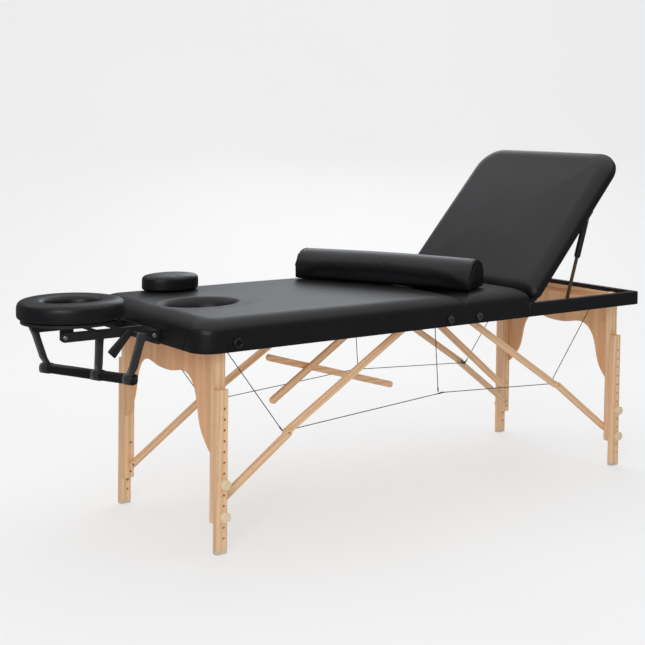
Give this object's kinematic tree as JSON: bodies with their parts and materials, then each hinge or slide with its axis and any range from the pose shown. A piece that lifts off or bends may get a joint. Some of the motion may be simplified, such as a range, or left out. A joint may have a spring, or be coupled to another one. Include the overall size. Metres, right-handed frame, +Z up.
{
  "type": "portable massage table",
  "caption": "Folding massage table with hinged leg frames, telescopic legs, braces and stay cables, a raised backrest, a face cradle, a bolster and a hole plug.",
  "frame": {"origin": "middle of the footprint, on the floor under the feet", "axes": "+X along the table from the face cradle to the backrest, +Y across it towards the far side, +Z up"},
  "size_m": [2.294, 0.7082, 1.1697],
  "materials": {
    "beech": "satin lacquer",
    "plywood": "satin lacquer",
    "vinyl": "semi-gloss, fine grain",
    "rubber": "matte",
    "knob": "satin lacquer",
    "cable": "stranded",
    "black_plastic": "fine texture",
    "webbing": "woven",
    "bronze": "satin",
    "steel": "satin"
  },
  "bodies": {
    "head_frame": {"head_side_rails": "beech", "head_cross_members": "beech", "head_vinyl_band": "vinyl", "side_sockets": "black_plastic", "head_deck": "plywood", "head_pad": "vinyl", "head_fold_hinges": "steel", "head_frame_bolts": "steel", "cradle_bracket": "black_plastic"},
    "fold_pins": {"fold_hinge_pins": "steel"},
    "back_frame": {"back_side_rails": "beech", "back_cross_members": "beech", "back_vinyl_band": "vinyl", "seat_deck": "plywood", "seat_pad": "vinyl", "back_fold_hinges": "steel", "back_frame_bolts": "steel", "seat_hinges": "steel"},
    "backrest": {"backrest_board": "vinyl", "backrest_pad": "vinyl", "backrest_hardware": "steel"},
    "strut_bars": {"strut_bars": "bronze"},
    "strut_sleeves": {"strut_sleeves": "black_plastic"},
    "head_legs": {"head_leg_posts": "beech", "head_leg_apron": "plywood", "head_leg_bolts": "steel", "head_leg_knobs": "knob"},
    "back_legs": {"back_leg_posts": "beech", "back_leg_apron": "plywood", "back_leg_bolts": "steel", "back_leg_knobs": "knob"},
    "head_centre_stay": {"head_centre_stay": "beech"},
    "back_centre_stay": {"back_centre_stay": "beech"},
    "centre_tie": {"centre_tie": "beech"},
    "centre_droppers": {"centre_droppers": "cable"},
    "cradle_arms": {"cradle_arms": "beech", "sling_straps": "webbing", "arm_rest_pad": "vinyl"},
    "cradle_platform": {"cradle_platform": "plywood"},
    "face_cushion": {"face_cushion": "vinyl"},
    "cam_lever": {"cam_lever": "black_plastic"},
    "breath_plug": {"breath_plug": "vinyl"},
    "bolster": {"bolster": "vinyl"},
    "head_near_extension": {"head_near_leg_extension": "beech", "head_near_foot_cap": "rubber"},
    "head_far_extension": {"head_far_leg_extension": "beech", "head_far_foot_cap": "rubber"},
    "head_lower_links": {"head_lower_links": "beech"},
    "head_upper_links": {"head_upper_links": "beech"},
    "head_long_cables": {"head_long_cables": "cable"},
    "head_corner_cables": {"head_corner_cables": "cable"},
    "back_near_extension": {"back_near_leg_extension": "beech", "back_near_foot_cap": "rubber"},
    "back_far_extension": {"back_far_leg_extension": "beech", "back_far_foot_cap": "rubber"},
    "back_lower_links": {"back_lower_links": "beech"},
    "back_upper_links": {"back_upper_links": "beech"},
    "back_long_cables": {"back_long_cables": "cable"},
    "back_corner_cables": {"back_corner_cables": "cable"}
  },
  "joints": [
    {"name": "table_fold", "type": "hinge", "parent": "head_frame", "child": "fold_pins", "pos_m": [0.273, 0, 0.6022], "axis": [0, 1, 0], "range_deg": [0, 110]},
    {"name": "table_close", "type": "hinge", "parent": "fold_pins", "child": "back_frame", "pos_m": [0.273, 0, 0.6022], "axis": [0, 1, 0], "range_deg": [0, 70]},
    {"name": "head_legs_fold", "type": "hinge", "parent": "head_frame", "child": "head_legs", "pos_m": [-0.645, 0, 0.627], "axis": [0, 1, 0], "range_deg": [-90.02, 0]},
    {"name": "head_near_leg_height", "type": "slide", "parent": "head_legs", "child": "head_near_extension", "axis": [0, 0, -1], "range_m": [-0.064, 0.128]},
    {"name": "head_far_leg_height", "type": "slide", "parent": "head_legs", "child": "head_far_extension", "axis": [0, 0, -1], "range_m": [-0.064, 0.128]},
    {"name": "head_lower_links_turn", "type": "hinge", "parent": "head_legs", "child": "head_lower_links", "pos_m": [-0.635, 0, 0.135], "axis": [0, 1, 0], "range_deg": [-55.08, 0]},
    {"name": "head_upper_links_turn", "type": "hinge", "parent": "head_frame", "child": "head_upper_links", "pos_m": [0.159, 0, 0.637], "axis": [0, 1, 0], "range_deg": [0, 31]},
    {"name": "head_long_cables_turn", "type": "hinge", "parent": "head_upper_links", "child": "head_long_cables", "pos_m": [-0.37765, 0, 0.31481], "axis": [0, 1, 0], "range_deg": [-27.37, 0]},
    {"name": "head_corner_cables_turn", "type": "hinge", "parent": "head_frame", "child": "head_corner_cables", "pos_m": [-0.613, 0, 0.6215], "axis": [0, 1, 0], "range_deg": [-52.52, 0]},
    {"name": "head_centre_stay_turn", "type": "hinge", "parent": "head_frame", "child": "head_centre_stay", "pos_m": [0.2, 0, 0.637], "axis": [0, 1, 0], "range_deg": [0, 32.06]},
    {"name": "centre_tie_turn", "type": "hinge", "parent": "head_centre_stay", "child": "centre_tie", "pos_m": [-0.10601, 0, 0.44549], "axis": [0, 1, 0], "range_deg": [-48.06, 0]},
    {"name": "centre_droppers_turn", "type": "hinge", "parent": "head_frame", "child": "centre_droppers", "pos_m": [0.249, 0, 0.622], "axis": [0, 1, 0], "range_deg": [0, 94.75]},
    {"name": "back_legs_fold", "type": "hinge", "parent": "back_frame", "child": "back_legs", "pos_m": [1.076, 0, 0.627], "axis": [0, 1, 0], "range_deg": [0, 90.02]},
    {"name": "back_near_leg_height", "type": "slide", "parent": "back_legs", "child": "back_near_extension", "axis": [0, 0, -1], "range_m": [-0.064, 0.128]},
    {"name": "back_far_leg_height", "type": "slide", "parent": "back_legs", "child": "back_far_extension", "axis": [0, 0, -1], "range_m": [-0.064, 0.128]},
    {"name": "back_lower_links_turn", "type": "hinge", "parent": "back_legs", "child": "back_lower_links", "pos_m": [1.066, 0, 0.135], "axis": [0, 1, 0], "range_deg": [0, 53.57]},
    {"name": "back_upper_links_turn", "type": "hinge", "parent": "back_frame", "child": "back_upper_links", "pos_m": [0.318, 0, 0.637], "axis": [0, 1, 0], "range_deg": [-32.48, 0]},
    {"name": "back_long_cables_turn", "type": "hinge", "parent": "back_upper_links", "child": "back_long_cables", "pos_m": [0.81049, 0, 0.32375], "axis": [0, 1, 0], "range_deg": [0, 29.06]},
    {"name": "back_corner_cables_turn", "type": "hinge", "parent": "back_frame", "child": "back_corner_cables", "pos_m": [1.044, 0, 0.6215], "axis": [0, 1, 0], "range_deg": [0, 51.91]},
    {"name": "back_centre_stay_turn", "type": "hinge", "parent": "back_frame", "child": "back_centre_stay", "pos_m": [0.335, 0, 0.637], "axis": [0, 1, 0], "range_deg": [-38.74, 0]},
    {"name": "backrest_tilt", "type": "hinge", "parent": "back_frame", "child": "backrest", "pos_m": [0.608, 0, 0.651], "axis": [0, 1, 0], "range_deg": [0, 48]},
    {"name": "strut_bars_turn", "type": "hinge", "parent": "back_frame", "child": "strut_bars", "pos_m": [0.788, 0, 0.632], "axis": [0, 1, 0], "range_deg": [0, 70.57]},
    {"name": "strut_sleeves_slide", "type": "slide", "parent": "strut_bars", "child": "strut_sleeves", "axis": [0.3077, 0, 0.9515], "range_m": [-0.10227, 0]},
    {"name": "cradle_height", "type": "hinge", "parent": "head_frame", "child": "cradle_arms", "pos_m": [-0.765, 0, 0.63], "axis": [0, 1, 0], "range_deg": [-6, 25]},
    {"name": "cradle_tilt", "type": "hinge", "parent": "cradle_arms", "child": "cradle_platform", "pos_m": [-1.049, 0, 0.648], "axis": [0, 1, 0], "range_deg": [-25, 3]},
    {"name": "face_cushion_lift", "type": "slide", "parent": "cradle_platform", "child": "face_cushion", "axis": [0, 0, 1], "range_m": [0, 0.08]},
    {"name": "cam_lever_turn", "type": "hinge", "parent": "cradle_arms", "child": "cam_lever", "pos_m": [-0.853, 0, 0.642], "axis": [0, 1, 0], "range_deg": [-40, 45]},
    {"name": "breath_plug_lift", "type": "slide", "parent": "head_frame", "child": "breath_plug", "axis": [0, 0, 1], "range_m": [0, 0.15]},
    {"name": "bolster_lift", "type": "slide", "parent": "fold_pins", "child": "bolster", "axis": [0, 0, 1], "range_m": [0, 0.2]}
  ],
  "couplings": [
    {"joint": "head_legs_fold", "follows": "table_fold", "ratio": -0.81818},
    {"joint": "head_lower_links_turn", "follows": "table_fold", "ratio": -0.50053},
    {"joint": "head_upper_links_turn", "follows": "table_fold", "ratio": 0.28163},
    {"joint": "head_long_cables_turn", "follows": "table_fold", "ratio": -0.2486},
    {"joint": "head_corner_cables_turn", "follows": "table_fold", "ratio": -0.47726},
    {"joint": "head_centre_stay_turn", "follows": "table_fold", "ratio": 0.29126},
    {"joint": "centre_tie_turn", "follows": "table_fold", "ratio": -0.43672},
    {"joint": "centre_droppers_turn", "follows": "table_fold", "ratio": 0.86116},
    {"joint": "back_legs_fold", "follows": "table_fold", "ratio": 0.81818},
    {"joint": "back_lower_links_turn", "follows": "table_fold", "ratio": 0.48678},
    {"joint": "back_upper_links_turn", "follows": "table_fold", "ratio": -0.29508},
    {"joint": "back_long_cables_turn", "follows": "table_fold", "ratio": 0.26398},
    {"joint": "back_corner_cables_turn", "follows": "table_fold", "ratio": 0.47177},
    {"joint": "back_centre_stay_turn", "follows": "table_fold", "ratio": -0.35204},
    {"joint": "strut_bars_turn", "follows": "backrest_tilt", "ratio": 1.4698},
    {"joint": "strut_sleeves_slide", "follows": "backrest_tilt", "m_per_rad": -0.12183}
  ]
}
